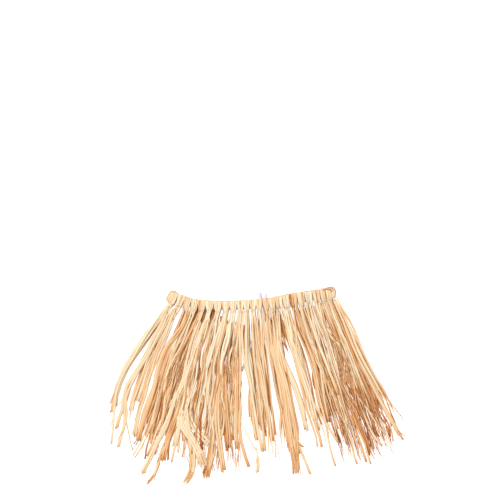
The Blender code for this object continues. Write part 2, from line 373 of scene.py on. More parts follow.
def leafFinish(name, ramp, look):
    # dried leaf: long fine fibres, edges darker from their own browner colour and painted shade of the curl,
    # and worn brown ends
    made, shader = newFinish(name, {"Roughness": look["roughness"], "Specular IOR Level": look["specular"]})
    nodes, links = made.node_tree.nodes, made.node_tree.links
    along = nodes.new("ShaderNodeUVMap")
    along.uv_map = "alongFibres"
    tone = nodes.new("ShaderNodeAttribute")
    tone.attribute_name = "tone"

    def streaks(across, down, detail):
        placed = nodes.new("ShaderNodeMapping")
        placed.inputs["Scale"].default_value = (across, down, 1)
        noise = nodes.new("ShaderNodeTexNoise")
        noise.inputs["Scale"].default_value = 1.0
        noise.inputs["Detail"].default_value = detail
        noise.inputs["Roughness"].default_value = 0.6
        links.new(along.outputs["UV"], placed.inputs["Vector"])
        links.new(placed.outputs["Vector"], noise.inputs["Vector"])
        return noise.outputs["Fac"]

    def sum2(a, b, factor, shift):
        # a + b * factor + shift
        times = nodes.new("ShaderNodeMath")
        times.operation = "MULTIPLY_ADD"
        times.inputs[1].default_value = factor
        links.new(b, times.inputs[0])
        links.new(a, times.inputs[2])
        plus = nodes.new("ShaderNodeMath")
        plus.operation = "ADD"
        plus.inputs[1].default_value = shift
        links.new(times.outputs[0], plus.inputs[0])
        return plus.outputs[0]

    fine = streaks(look["fineAcross"], look["fineAlong"], 3.0)
    broad = streaks(look["broadAcross"], look["broadAlong"], 1.0)
    mixed = sum2(tone.outputs["Fac"], fine, look["fineDepth"], -0.5 * look["fineDepth"])
    mixed = sum2(mixed, broad, look["broadDepth"], -0.5 * look["broadDepth"])
    colours = nodes.new("ShaderNodeValToRGB")
    colours.color_ramp.interpolation = "LINEAR"
    stops = colours.color_ramp.elements
    stops[0].position, stops[0].color = ramp[0][0], (*ramp[0][1], 1)
    stops[1].position, stops[1].color = ramp[-1][0], (*ramp[-1][1], 1)
    for place, colour in ramp[1:-1]:
        stop = stops.new(place)
        stop.color = (*colour, 1)
    links.new(mixed, colours.inputs["Fac"])
    links.new(colours.outputs["Color"], shader.inputs["Base Color"])
    addBump(made, shader, fine, look["bump"])
    return made


leafLook = {
    "roughness": 0.55,
    "specular": 0.16,
    "fineAcross": 10.0,
    "fineAlong": 0.25,
    "fineDepth": 0.7,
    "broadAcross": 3.0,
    "broadAlong": 0.2,
    "broadDepth": 0.35,
    "bump": 0.5,
}
leafRamp = (
    (0.0, (0.955, 0.87, 0.67)),
    (0.25, (0.925, 0.73, 0.485)),
    (0.5, (0.865, 0.54, 0.28)),
    (0.75, (0.69, 0.305, 0.10)),
    (1.0, (0.38, 0.115, 0.025)),
)
strawFinish = leafFinish("strawRaffia", leafRamp, leafLook)
innerFinish = leafFinish("innerRaffia", leafRamp, leafLook)

# one row for each hank, from left to right
# knot: its place along the band; halfWay and end: the middle of the hank half way down and at the hem;
# halfWidth and endWidth: how wide it spreads there; reach: its length as a share of the drop to the hem;
# locks: how many locks its strips gather into; spread: how loosely they do;
# strips and backStrips: loose strips besides the six of the knot, on the front and on the back;
# tone: 0 pale straw, 1 dark brown
hankColumns = (
    "knot", "halfWay", "end", "halfWidth", "endWidth", "reach",
    "locks", "spread", "strips", "backStrips", "tone",
)
hankTable = (
    (-160, -262, -287, 9, 6, 0.84, 2, 0.3, 0, 0, 0.20),
    (-146, -228, -257, 36, 42, 0.84, 3, 0.3, 0, 0, 0.22),
    (-132, -185, -224, 16, 18, 0.86, 2, 0.5, 1, 0, 0.30),
    (-116.5, -177, -207, 20, 24, 0.93, 3, 0.9, 2, 1, 0.33),
    (-101.5, -155, -188, 24, 26, 0.93, 3, 1.0, 3, 1, 0.36),
    (-86, -128, -160, 13, 26, 0.94, 2, 1.0, 2, 1, 0.32),
    (-69, -106, -128, 12, 24, 0.93, 2, 1.0, 2, 0, 0.30),
    (-52.5, -82, -100, 13, 24, 0.94, 2, 1.1, 2, 1, 0.28),
    (-37.5, -59, -72, 14, 24, 0.94, 2, 1.1, 2, 0, 0.31),
    (-23, -36, -38, 22, 34, 0.92, 3, 0.8, 3, 1, 0.28),
    (-10, 0, 17, 6, 11, 0.84, 2, 0.4, 0, 0, 0.24),
    (3, 18, 35, 8, 13, 0.88, 2, 0.5, 1, 0, 0.28),
    (15.5, 28, 54, 9, 14, 0.88, 2, 0.4, 0, 0, 0.28),
    (29.5, 59, 80, 12, 20, 0.92, 2, 0.5, 2, 1, 0.42),
    (42, 70, 97, 12, 22, 0.92, 2, 0.5, 2, 1, 0.36),
    (56, 109, 142, 7, 9, 0.74, 1, 0.3, 0, 0, 0.26),
    (71, 114, 156, 9, 16, 0.82, 2, 0.3, 1, 0, 0.28),
    (86, 138, 180, 15, 22, 0.88, 3, 0.6, 4, 1, 0.38),
    (101.5, 152, 199, 26, 25, 0.95, 3, 1.0, 7, 3, 0.28),
    (117, 169, 217, 26, 26, 0.98, 3, 1.0, 8, 3, 0.28),
    (133, 187, 235, 24, 28, 0.99, 4, 1.1, 9, 3, 0.30),
    (146, 206, 254, 24, 28, 0.99, 4, 1.1, 9, 3, 0.32),
    (156, 224, 272, 22, 26, 0.97, 3, 0.9, 7, 2, 0.28),
    (163, 241, 292, 15, 20, 0.94, 3, 0.6, 4, 1, 0.24),
)
hanks = [dict(zip(hankColumns, row)) for row in hankTable]

hankLook = {
    "levels": (0.015, 0.035, 0.06, 0.09, 0.14, 0.21, 0.29, 0.37, 0.46, 0.55, 0.64, 0.73, 0.82, 0.91, 1.0),
    "openBy": 0.035,
    "apart": 0.042,  # left of the middle the hanks stay apart for longer
    "startWidth": 13.6,
    "widerAtRight": 3.5,
    "stripWidth": (3.2, 8.6),
    "finer": 0.42,  # towards the right end the strips are this much narrower
    "lockSway": 7.0,
    "stripSway": 1.8,
    "lockSpread": 2.9,  # how far the strips of a lock lie to the sides of its middle
    "drift": 5.0,
    "crossing": 0.18,  # the share of strips that stray across their neighbours
    "most": 14.0,  # and how far they may stray
    "ragged": 0.24,  # how much shorter the shortest strips are
    "backReach": 0.96,
    "toneSpread": 0.15,
    "patchy": 0.02,  # towards the right end their tones differ more
    # painted shade: the back layer's strips are browner, for the shade under the front layer
    "backPaintedShade": 0.22,
    "lowerShade": (0.02, 0.36),  # how much browner the strips get towards the hem, at the left and the right
    "knotShade": -0.03,  # the wound part is paler than the hanging part
    "buriedPaintedShade": 0.24,  # painted shade: deeper in the pile the strips are painted browner, for the shade of the strips over them
}


def hankX(hank, level):
    return (
        (1 - level) * (1 - 2 * level) * hank["knot"]
        + 4 * level * (1 - level) * hank["halfWay"]
        + level * (2 * level - 1) * hank["end"]
    )


def hankWidth(hank, level):
    halfWay = smooth(level / 0.42)
    start = hankLook["startWidth"] + hankLook["widerAtRight"] * smooth((hank["knot"] - 50) / 40)
    return (
        start * (1 - halfWay)
        + hank["halfWidth"] * halfWay
        + (hank["endWidth"] - hank["halfWidth"]) * smooth((level - 0.5) / 0.5)
    )


def rightness(hank):
    # 0 as far as a little right of the middle, 1 for the last hanks on the right
    return float(smooth((hank["knot"] - 60) / 55))


def gatheredPlace(x):
    # 1 where the hanks leave their knots tightly gathered, 0 where they spread at once
    return float(smooth((x + 125) / 20) * (1 - smooth((x - 10) / 45)))


# the way a strip lies over the elastic: up behind it, over its upper edge and down in front
# up: from the elastic's centre line towards the band's upper edge; out: away from the elastic;
# inner, middle, outer: how far each of a knot's strips lies from the middle of its knot
wrapColumns = ("up", "out", "inner", "middle", "outer")
wrapTable = (
    (-6.5, -3.3, 1.3, 3.6, 5.6),
    (0.0, -3.6, 1.3, 3.7, 5.9),
    (6.0, -3.2, 1.25, 3.7, 6.0),
    (10.0, -0.2, 1.25, 3.7, 6.0),
    (6.3, 3.2, 1.3, 3.6, 5.85),
    (2.0, 3.9, 1.4, 3.5, 5.5),
    (-2.0, 4.1, 1.4, 3.3, 5.1),
    (-6.0, 3.6, 1.35, 3.1, 4.8),
    (-9.6, 2.2, 1.3, 3.0, 4.6),
)
wrapRows = [dict(zip(wrapColumns, row)) for row in wrapTable]
knotLook = {
    "pitch": 14.3,
    "strandWidth": 2.75,
    "widensOver": 120.0,
    "taller": (1.3, 3.4, 2.0),  # anywhere, and how much more at the right and left end
    "unevenAside": 0.16,
    "unevenUp": 0.15,
}


def knotPitch(number):
    places = [h["knot"] for h in hanks]
    near = [abs(places[number] - places[k]) for k in (number - 1, number + 1) if 0 <= k < len(places)]
    return sum(near) / len(near)


def wrapPath(x, strand, side, scale, limb, back):
    centre, _, across, outward = loopStation((x / skirtShape["halfWaist"] + 1) / 2)
    along = bandAlong(x)
    usual, atRight, atLeft = knotLook["taller"]
    taller = usual + atRight * smooth((x - 35) / 50) + atLeft * smooth((-125 - x) / 30)
    taller += rng.uniform(-0.4, 0.5)
    path = []
    for row in wrapRows:
        gathered = 1 + (limb - 1) * smooth(-row["up"] / 9) * (row["out"] > 0)
        off = side * row[strand] * scale * gathered + rng.normal(0, knotLook["unevenAside"])
        up = row["up"] + taller * smooth(row["up"] / 9) + rng.normal(0, knotLook["unevenUp"])
        path.append(centre + along * off + across * up + outward * row["out"])
    path = np.array(path)
    if back:
        path[:, 2] = 2 * skirtShape["middleZ"] - path[:, 2]
    return path


def makeLocks(hank):
    # the locks that a hank's strips gather into, weaving past each other on their way down
    locks = []
    for k in range(hank["locks"]):
        spot = (2 * k + 1) / hank["locks"] - 1
        sway = wander(len(hankLook["levels"]), hankLook["lockSway"] * hank["spread"], 4, 2)
        spot = 0.82 * spot + rng.normal(0, 0.08)
        locks.append({"spot": spot, "sway": sway, "reach": rng.uniform(0.9, 1.0)})
    return locks


pileLook = {
    "lift": 0.9,  # the front's lowest strips above the space between the layers
    "deep": 5.0,
    "swell": 1.4,  # deeper half way down
    "thinner": 2.2,  # and thinner at the hem
    "backLift": 0.5,
    "backGap": 1.6,
}


def pileDepth(level):
    # how deep the front's pile of strips is
    swell = pileLook["swell"] * np.sin(math.pi * np.minimum(1.0, level))
    return pileLook["deep"] + swell - pileLook["thinner"] * smooth(level)


def flowPath(hank, lock, offset, drift, reach, depth, back, fromX):
    # the loose part of a strip, fanning out with its lock and settling on the table
    look = hankLook
    sway = lock["sway"] + wander(len(look["levels"]), look["stripSway"], 4)
    apart = look["apart"] * gatheredPlace(hank["knot"]) * rng.uniform(0.8, 1.2)
    path = []
    for k, share in enumerate(look["levels"]):
        level = share * reach
        free = smooth((level - apart) / look["openBy"])
        loose = smooth(level / 0.35)
        aside = lock["spot"] * hankWidth(hank, level) / 2 + offset * (0.5 + 0.5 * loose)
        aside += (sway[k] + drift * level) * loose
        x = hankX(hank, level) + free * aside + (1 - free) * fromX
        space = betweenLayers(level)
        if back:
            z = pileLook["backLift"] + depth * (space - pileLook["backGap"])
        else:
            settle = 1 - 0.45 * smooth((share - 0.7) / 0.3) * smooth((level - 0.6) / 0.3)
            z = (space + pileLook["lift"] + depth * pileDepth(level)) * settle
        path.append((x, levelY(x, level), z))
    return np.array(path)


def layHank(bundle, hank, scale, back):
    look = hankLook
    along = bandAlong(hank["knot"])
    limb = (1.06 - 0.34 * gatheredPlace(hank["knot"])) * rng.uniform(0.9, 1.1)
    jobs = [(strand, side) for side in (-1, 1) for strand in (("outer", "middle", "inner")[:: -side])]
    jobs += [(None, 0)] * (hank["backStrips"] if back else hank["strips"])
    for k, (strand, side) in enumerate(jobs):
        if strand:
            pick = (k + 0.5) / 6 * hank["locks"] + rng.normal(0, 0.35)
            depth = rng.uniform(0.4, 1.0)
        else:
            pick = rng.uniform(0, hank["locks"])
            depth = rng.uniform(0.0, 0.6)
        lock = hank["made"][int(np.clip(pick, 0, hank["locks"] - 1e-6))]
        offset = rng.normal(0, look["lockSpread"]) * hank["spread"]
        drift = rng.normal(0, look["drift"]) * hank["spread"]
        if rng.random() < look["crossing"]:
            drift = float(np.clip(3.0 * drift, -look["most"], look["most"]))
        reach = hank["reach"] * lock["reach"] * (1 - look["ragged"] * rng.random() ** 1.6)
        reach *= look["backReach"] if back else 1.0
        width = rng.uniform(*look["stripWidth"]) * (1 - look["finer"] * rightness(hank))
        # painted shade: strips lower in the pile are made browner
        tone = hank["tone"] + look["buriedPaintedShade"] * (0.6 - depth)
        tone += rng.normal(0, look["toneSpread"] + look["patchy"] * rightness(hank))
        # painted shade for the back layer, which lies under the front
        tone += look["backPaintedShade"] if back else 0.0
        tip = "point" if rng.random() < 0.35 + 0.4 * rightness(hank) else "cut"
        curl = rng.uniform(0.35, 1.15)
        if strand:
            head = wrapPath(hank["knot"], strand, side, scale, limb, back)
            fromX = 0.9 * (head[-1][0] - hank["knot"])
            flow = flowPath(hank, lock, offset, drift, reach, depth, back, fromX)
            neck, neckLength = knotLook["strandWidth"] * scale / width, knotLook["widensOver"]
        else:
            head = flowPath(hank, lock, offset, drift, reach, depth, back, rng.uniform(-2.6, 2.6) * limb)
            flow, head = head, head[:1] + [0, 9.0, (0.6 + 1.2 * depth) * (-1 if back else 1)]
            neck, neckLength = 0.4, 0.5 * knotLook["widensOver"]
        points = np.concatenate([head, flow])
        lower = float(np.interp(rightness(hank), (0, 1), look["lowerShade"])) * rng.uniform(0.1, 1.9)
        addStrip(
            bundle, points, width, tone, tip, side=along, curl=curl, twist=0.45, neck=neck,
            neckLength=neckLength, toneEnds=0.12 + 0.10 * rightness(hank), toneLower=lower,
            toneHead=look["knotShade"] if strand else 0.0, headCurl=1.25 if strand else None,
        )


frontGrass, backGrass = newBundle(), newBundle()
for hank in hanks:
    hank["made"] = makeLocks(hank)
for back, bundle in ((True, backGrass), (False, frontGrass)):
    for number, hank in enumerate(hanks):
        layHank(bundle, hank, knotPitch(number) / knotLook["pitch"], back)
print(f"{len(hanks)} hanks hung on each side")

# the strips that lie on top and make the ragged outline
# tone: 0 pale straw, 1 dark brown; tip: how it ends; places: the x and y that it passes, from its upper end
topColumns = ("width", "tone", "tip", "places")
topStrips = (
    (5, 0.1, "cut", [(-173, 1), (-192, -26), (-216, -61), (-241, -104), (-263, -141), (-275, -174),
     (-281, -215), (-284, -252), (-287, -284)]),
    (2.4, 0.2, "point", [(-208, -51), (-233, -90), (-255, -124), (-271, -159), (-278, -194), (-285, -235),
     (-292, -262), (-298, -282)]),
    (7.5, 0.25, "cut", [(-169, -1), (-183, -34), (-204, -73), (-220, -108), (-239, -139), (-255, -165),
     (-261, -190), (-264, -213), (-271, -233), (-276, -252)]),
    (7, 0.2, "cut", [(-165, -3), (-177, -32), (-197, -71), (-214, -104), (-232, -135), (-246, -163),
     (-256, -190), (-258, -217), (-260, -245), (-268, -270), (-273, -290)]),
    (4, 0.35, "point", [(-243, -161), (-255, -190), (-255, -225), (-261, -252), (-270, -268),
     (-276, -280)]),
    (2.6, 0.5, "cut", [(-257, -182), (-264, -204), (-261, -221), (-254, -247), (-249, -276), (-243, -297)]),
    (5, 0.2, "point", [(-161, -8), (-173, -34), (-189, -63), (-202, -88), (-214, -114), (-223, -145),
     (-235, -178), (-246, -208), (-251, -243)]),
    (9, 0.35, "cut", [(-157, -6), (-166, -34), (-179, -65), (-195, -98), (-205, -129), (-214, -157),
     (-221, -186), (-228, -211), (-237, -252), (-240, -270)]),
    (3, 0.5, "point", [(-153, -14), (-171, -63), (-190, -106), (-204, -139), (-216, -170), (-227, -200),
     (-239, -235), (-247, -249)]),
    (9, 0.4, "cut", [(-129, -10), (-137, -34), (-154, -61), (-171, -81), (-181, -100), (-191, -135),
     (-199, -167), (-209, -198), (-218, -227), (-227, -256), (-232, -276)]),
    (5, 0.3, "point", [(-188, -137), (-198, -161), (-207, -182), (-215, -200), (-222, -221), (-228, -243),
     (-233, -268)]),
    (3, 0.35, "cut", [(-192, -194), (-208, -231), (-218, -260), (-231, -288), (-243, -308)]),
    (3, 0.3, "cut", [(-188, -204), (-204, -243), (-216, -270), (-229, -297), (-239, -312)]),
    (2.4, 0.7, "cut", [(-208, -204), (-220, -235), (-231, -268), (-241, -284)]),
    (2.2, 0.75, "cut", [(-204, -211), (-216, -243), (-229, -272), (-237, -286)]),
    (1.8, 0.5, "point", [(-208, -256), (-218, -276), (-224, -295), (-224, -310)]),
    (4, 0.75, "cut", [(-188, -225), (-204, -260), (-214, -288), (-218, -315)]),
    (5, 0.3, "cut", [(-177, -215), (-194, -256), (-204, -286), (-214, -309)]),
    (3, 0.6, "cut", [(-175, -245), (-186, -272), (-194, -290), (-198, -305)]),
    (9.5, 0.12, "cut", [(-147, -153), (-161, -200), (-175, -243), (-192, -278), (-206, -307), (-218, -331),
     (-223, -344)]),
    (6, 0.4, "frayed", [(-159, -235), (-173, -272), (-186, -303), (-192, -329), (-200, -348),
     (-212, -364)]),
    (8, 0.45, "point", [(-151, -204), (-163, -245), (-175, -280), (-183, -303), (-190, -319)]),
    (9, 0.5, "cut", [(-140, -178), (-153, -223), (-165, -260), (-175, -288), (-181, -317)]),
    (5, 0.25, "cut", [(-114, -153), (-126, -190), (-138, -227), (-151, -264), (-159, -297), (-163, -321)]),
    (4, 0.6, "point", [(-104, -161), (-99, -194), (-108, -231), (-114, -268), (-112, -301)]),
    (6, 0.2, "cut", [(-87, -137), (-91, -178), (-85, -219), (-77, -260), (-77, -293)]),
    (5, 0.15, "point", [(-60, -129), (-63, -170), (-54, -211), (-44, -252), (-42, -288)]),
    (4, 0.8, "cut", [(-145, -204), (-157, -245), (-167, -276), (-170, -301), (-171, -317)]),
    (10, 0.2, "cut", [(-140, -194), (-145, -225), (-150, -256), (-157, -293)]),
    (2.5, 0.75, "point", [(-142, -219), (-151, -243), (-159, -260), (-165, -278)]),
    (3, 0.5, "cut", [(-153, -231), (-145, -254), (-136, -270), (-138, -290), (-142, -311)]),
    (2, 0.4, "point", [(-140, -276), (-137, -293), (-137, -313)]),
    (12, 0.3, "frayed", [(-132, -184), (-134, -215), (-131, -243), (-126, -272), (-121, -301), (-119, -325),
     (-124, -344), (-134, -361)]),
    (6, 0.4, "point", [(-134, -245), (-128, -276), (-125, -303), (-124, -323), (-130, -346), (-137, -364)]),
    (17, 0.12, "frayed", [(-151, -206), (-147, -231), (-134, -256), (-120, -276), (-106, -303),
     (-97, -327)]),
    (15, 0.42, "frayed", [(-83, -245), (-80, -276), (-81, -301), (-86, -321), (-91, -340), (-93, -352)]),
    (7, 0.08, "cut", [(-126, -211), (-120, -237), (-108, -256), (-95, -270), (-84, -282)]),
    (6, 0.14, "cut", [(-128, -219), (-122, -245), (-110, -264), (-97, -278), (-86, -290)]),
    (5, 0.85, "cut", [(-93, -163), (-99, -204), (-105, -239), (-104, -272), (-101, -295)]),
    (10, 0.3, "cut", [(-67, -133), (-68, -178), (-70, -219), (-69, -256), (-64, -288), (-58, -338)]),
    (3, 0.4, "point", [(-81, -184), (-75, -219), (-70, -260), (-69, -301), (-71, -325), (-68, -346)]),
    (5, 0.3, "cut", [(-60, -184), (-56, -219), (-58, -252), (-64, -280), (-67, -313)]),
    (1.6, 0.8, "cut", [(-87, -297), (-81, -317), (-75, -340)]),
    (5, 0.65, "cut", [(-91, -256), (-85, -286), (-91, -317), (-99, -344)]),
    (8, 0.55, "cut", [(-56, -112), (-54, -163), (-52, -204), (-50, -239), (-47, -268), (-47, -293)]),
    (2, 0.5, "point", [(-42, -204), (-44, -235), (-40, -276), (-39, -301), (-35, -327)]),
    (9, 0.45, "cut", [(-32, -92), (-30, -143), (-31, -194), (-32, -231), (-32, -264), (-29, -297)]),
    (3, 0.4, "point", [(-22, -215), (-23, -247), (-24, -276), (-27, -301), (-30, -321), (-33, -346)]),
    (2.4, 0.25, "point", [(-29, -307), (-27, -325), (-22, -346)]),
    (7.5, 0.4, "cut", [(-24, -163), (-24, -215), (-24, -252), (-19, -284), (-12, -311), (-5, -331)]),
    (3.6, 0.1, "point", [(-28, -229), (-17, -247), (-5, -272), (7, -293), (12, -303), (9, -321),
     (8, -352)]),
    (6.5, 0.25, "cut", [(9, -290), (13, -311), (14, -325), (12, -342)]),
    (6, 0.22, "cut", [(-17, -12), (-19, -47), (-18, -81), (-14, -116), (-7, -145), (-1, -178)]),
    (6, 0.3, "point", [(-26, -10), (-24, -51), (-23, -92), (-23, -133), (-24, -178), (-26, -215)]),
    (7, 0.2, "cut", [(-9, -12), (-11, -51), (-11, -85), (-9, -118), (-3, -153), (3, -194), (8, -225),
     (13, -256), (19, -282), (22, -299)]),
    (6, 0.3, "cut", [(3, -12), (2, -51), (4, -92), (9, -137), (15, -178), (19, -215), (24, -256),
     (27, -297)]),
    (3, 0.6, "point", [(-1, -71), (9, -122), (17, -170), (26, -211), (30, -252), (32, -276)]),
    (3, 0.4, "point", [(22, -112), (28, -153), (32, -194), (34, -245), (35, -293), (35, -319)]),
    (4.5, 0.3, "point", [(5, -12), (9, -61), (15, -102), (24, -143), (30, -184), (36, -225), (40, -266),
     (43, -301), (46, -329)]),
    (8, 0.3, "point", [(24, -12), (23, -51), (23, -88), (26, -120), (32, -161)]),
    (6, 0.2, "point", [(30, -12), (32, -51), (35, -81), (40, -116), (47, -153), (54, -198)]),
    (6, 0.35, "cut", [(36, -12), (38, -51), (42, -83), (48, -118), (57, -163), (65, -211)]),
    (2.2, 0.45, "point", [(30, -14), (34, -61), (39, -106), (46, -149), (53, -186), (60, -225)]),
    (2.8, 0.3, "cut", [(26, -14), (28, -61), (32, -104), (36, -143), (41, -194), (44, -245), (48, -282),
     (50, -311)]),
    (2, 0.5, "point", [(46, -266), (52, -288), (56, -307), (60, -321)]),
    (6, 0.35, "point", [(42, -12), (46, -51), (51, -92), (58, -137), (65, -184), (60, -225), (59, -260),
     (63, -288), (70, -309)]),
    (14, 0.33, "frayed", [(36, -40), (42, -81), (52, -116), (63, -153), (69, -194), (73, -231), (79, -266),
     (85, -297), (90, -321), (91, -344)]),
    (8, 0.4, "cut", [(46, -40), (52, -83), (60, -124), (71, -165), (79, -204), (87, -239), (91, -272),
     (93, -307)]),
    (4, 0.55, "point", [(50, -14), (56, -61), (65, -102), (75, -143), (83, -190), (89, -223), (95, -252),
     (95, -286), (97, -321), (101, -348), (107, -370)]),
    (4.5, 0.5, "cut", [(65, -237), (77, -260), (91, -276), (106, -290)]),
    (5.5, 0.35, "cut", [(77, -225), (89, -262), (99, -293), (110, -319), (121, -346)]),
    (8, 0.2, "cut", [(54, -14), (55, -51), (56, -85), (63, -114), (76, -142), (89, -170), (98, -198),
     (106, -229), (112, -258)]),
    (7, 0.28, "cut", [(56, -14), (58, -55), (61, -92), (71, -120), (83, -145), (95, -174), (104, -202),
     (110, -235)]),
    (8, 0.12, "cut", [(71, -8), (76, -40), (83, -75), (95, -112), (108, -147), (118, -178), (126, -211),
     (132, -235)]),
    (6, 0.3, "point", [(65, -8), (71, -42), (79, -81), (91, -116), (104, -153), (114, -186), (120, -215)]),
    (4, 0.75, "point", [(52, -42), (60, -67), (69, -83), (77, -100)]),
    (1.6, 0.15, "point", [(56, -47), (65, -65), (73, -83)]),
    (7, 0.25, "cut", [(118, 5), (123, -18), (129, -47), (141, -90), (159, -135), (176, -176)]),
    (6, 0.2, "cut", [(110, 1), (120, -30), (132, -67), (147, -104), (163, -145), (177, -182)]),
    (5, 0.4, "cut", [(77, -8), (83, -55), (87, -102), (97, -145), (106, -180), (114, -215), (124, -245),
     (132, -270), (135, -290)]),
    (6.5, 0.35, "cut", [(85, -6), (91, -57), (93, -104), (104, -145), (112, -180), (122, -215), (132, -247),
     (140, -272), (144, -290)]),
    (3.6, 0.08, "point", [(104, -190), (112, -215), (122, -227), (136, -239), (147, -256), (151, -276),
     (155, -297)]),
    (6, 0.3, "cut", [(99, -129), (112, -165), (126, -198), (140, -221), (153, -241), (165, -262),
     (177, -280)]),
    (5, 0.3, "cut", [(132, -149), (138, -186), (147, -221), (155, -256), (159, -280), (165, -307),
     (172, -329)]),
    (2.6, 0.4, "point", [(157, -204), (169, -235), (177, -260), (186, -280)]),
    (2, 0.45, "point", [(177, -225), (188, -256), (194, -276), (198, -297), (199, -319)]),
    (5, 0.3, "cut", [(177, -204), (192, -245), (204, -280), (210, -307), (216, -325)]),
    (4, 0.4, "point", [(186, -204), (200, -245), (214, -280), (220, -307), (229, -328)]),
    (5, 0.5, "cut", [(194, -204), (208, -243), (222, -280), (231, -307), (235, -321)]),
    (4, 0.4, "cut", [(202, -208), (218, -252), (233, -288), (239, -309), (244, -325)]),
    (2.2, 0.5, "point", [(210, -215), (227, -256), (239, -284), (247, -307), (260, -327)]),
    (8, 0.75, "cut", [(200, -194), (216, -235), (229, -262), (237, -286), (239, -307)]),
    (2.4, 0.6, "cut", [(227, -231), (239, -260), (247, -282), (251, -295)]),
    (7, 0.3, "cut", [(222, -204), (237, -239), (249, -264), (259, -278), (268, -288)]),
    (2.6, 0.4, "point", [(243, -231), (259, -256), (272, -278), (281, -295)]),
    (2.2, 0.5, "point", [(251, -215), (268, -243), (280, -272), (288, -299), (306, -311)]),
    (3, 0.5, "cut", [(259, -204), (274, -231), (286, -254), (290, -278)]),
    (5, 0.45, "cut", [(247, -163), (261, -186), (276, -213), (290, -237), (302, -260), (310, -275)]),
    (2.4, 0.85, "point", [(206, -137), (216, -170), (227, -198), (237, -229), (247, -260)]),
    (3.2, 0.9, "point", [(222, -153), (233, -182), (245, -213), (257, -243), (265, -270)]),
    (2.2, 0.8, "point", [(192, -92), (204, -129), (216, -165), (229, -200), (239, -235)]),
    (3.5, 0.75, "cut", [(231, -178), (245, -198), (259, -223), (276, -245), (284, -268)]),
    (2.4, 0.95, "point", [(214, -190), (224, -217), (235, -243), (241, -272), (245, -301)]),
    (2.6, 0.1, "point", [(202, -149), (216, -184), (235, -211), (255, -231), (265, -252)]),
    (3.2, 0.2, "cut", [(227, -188), (239, -215), (257, -243), (274, -264)]),
    (2, 0.85, "point", [(247, -190), (261, -215), (276, -235), (284, -260), (286, -286)]),
    (1.6, 0.7, "point", [(265, -219), (280, -245), (288, -268), (290, -295)]),
    (1.6, 0.75, "point", [(239, -245), (249, -272), (259, -297), (276, -321)]),
    (1.5, 0.8, "point", [(198, -235), (208, -268), (216, -297), (218, -319)]),
    (1.5, 1, "point", [(284, -231), (296, -252), (309, -264), (323, -272)]),
    (5, 0.4, "point", [(174, 17), (186, -8), (202, -34), (214, -59), (224, -88), (237, -116), (251, -143),
     (268, -170), (280, -192), (292, -211), (306, -225)]),
    (1.5, 1, "point", [(280, -190), (296, -213), (306, -227), (315, -243)]),
    (6, 0.25, "point", [(171, 13), (188, -20), (204, -55), (216, -88), (233, -122), (249, -151),
     (263, -176), (276, -196), (290, -213)]),
    (7, 0.3, "cut", [(167, 11), (186, -30), (202, -71), (218, -108), (237, -145), (255, -180), (274, -215),
     (290, -243), (304, -266)]),
    (5, 0.65, "point", [(163, 7), (181, -34), (198, -75), (214, -116), (231, -153), (245, -186),
     (259, -217), (272, -243)]),
)


def topHeight(level, lift):
    # the height of the top of the front pile
    level = np.clip(level, 0.0, 1.2)
    pile = betweenLayers(level) + pileLook["lift"] + pileDepth(level)
    return pile * (1 - 0.55 * smooth((level - 0.65) / 0.4)) + lift


splitLook = {"leaf": 5.2, "overlap": 1.4, "apart": 0.55, "longer": 0.08, "shorter": 0.18}
topLook = {"lift": 0.6, "layer": 0.25, "atKnot": 12.0, "knotEdge": -22, "fromUnder": (4.0, 0.8)}


def topPath(places, row):
    # a strip's places with their heights, on top of the pile or coming over the knots
    levels = levelOf(places[:, 0], places[:, 1])
    buried = smooth((levels + 0.03) / 0.10)
    lift = topLook["lift"] + topLook["layer"] * (row % 5)
    points = np.column_stack([places, topHeight(levels, lift) * buried + (1 - buried) * topLook["atKnot"]])
    fromKnot = places[0][1] > topLook["knotEdge"]
    if not fromKnot:
        # it comes up from under its neighbours
        points[:2, 2] -= topLook["fromUnder"]
    return points, fromKnot


def layTopStrip(bundle, row, width, tone, tip, places):
    # a wide leaf is split lengthwise
    leaves = max(1, round(width / splitLook["leaf"]))
    split = leaves > 1
    places = np.array(places, float)
    points, fromKnot = topPath(places, row)
    aside = np.gradient(places, axis=0)
    aside = unit(np.column_stack([-aside[:, 1], aside[:, 0], 0 * aside[:, 0]]))
    for leaf in range(leaves):
        spot = (leaf - (leaves - 1) / 2) * width / leaves
        spread = spot * np.linspace(0.6, 1.0, len(points)) ** 0.5
        if split:
            spread = spread + rng.normal(0, splitLook["apart"], len(points))
        path = points + aside * spread[:, None]
        path[:, 2] += 0.25 * (leaf % 2)
        if split:
            longer = rng.uniform(-splitLook["shorter"], splitLook["longer"])
            path[-1, :2] += (path[-1, :2] - path[-2, :2]) * longer
        leafWidth = width / leaves * (splitLook["overlap"] if split else 1.0)
        leafTone = tone + 0.03 + rng.normal(0, 0.07) * split
        neck, neckLength = (0.45, 55.0) if fromKnot else (0.3, 45.0)
        addStrip(
            bundle, path, leafWidth, leafTone, tip, curl=rng.uniform(0.5, 1.0), twist=0.2,
            columns=4 if split else 5, neck=neck, neckLength=neckLength, toneEnds=0.16,
        )


outerGrass = newBundle()
for row, strip in enumerate(topStrips):
    layTopStrip(outerGrass, row, **dict(zip(topColumns, strip)))

